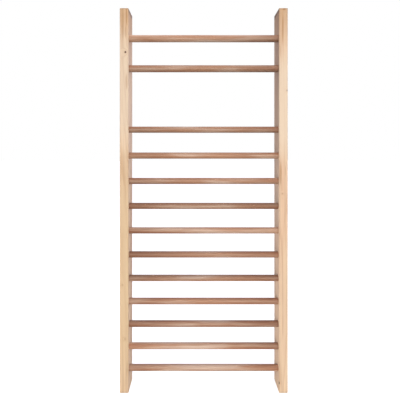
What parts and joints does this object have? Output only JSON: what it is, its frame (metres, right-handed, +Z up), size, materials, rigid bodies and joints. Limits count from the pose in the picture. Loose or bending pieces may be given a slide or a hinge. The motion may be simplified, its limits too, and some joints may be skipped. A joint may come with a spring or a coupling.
{
  "type": "wall bars",
  "caption": "Wooden wall bars: two upright boards joined by round rungs, spaced for climbing below and for hanging at the top, fixed to a wall by nuts in their rear edges.",
  "frame": {"origin": "on the floor, midway between the two uprights and midway through their depth", "axes": "+Z up; -Y is the front, where a person climbs, and +Y the wall; +X is to the right as seen from the front"},
  "size_m": [0.96, 0.12, 2.2],
  "materials": {
    "pine": "planed pale pine, matt clear lacquer",
    "beech": "turned steamed beech, matt clear lacquer",
    "zinc_steel": "bright zinc plated",
    "nut_steel": "yellow zinc plated"
  },
  "bodies": {
    "root": {"climbing_rung_01": "beech", "climbing_rung_02": "beech", "climbing_rung_03": "beech", "climbing_rung_04": "beech", "climbing_rung_05": "beech", "climbing_rung_06": "beech", "climbing_rung_07": "beech", "climbing_rung_08": "beech", "climbing_rung_09": "beech", "climbing_rung_10": "beech", "climbing_rung_11": "beech", "left_rung_screws": "zinc_steel", "left_upright": "pine", "lower_hanging_rung": "beech", "lower_left_insert_nut": "nut_steel", "lower_right_insert_nut": "nut_steel", "right_rung_screws": "zinc_steel", "right_upright": "pine", "upper_hanging_rung": "beech", "upper_left_insert_nut": "nut_steel", "upper_right_insert_nut": "nut_steel"}
  },
  "joints": []
}
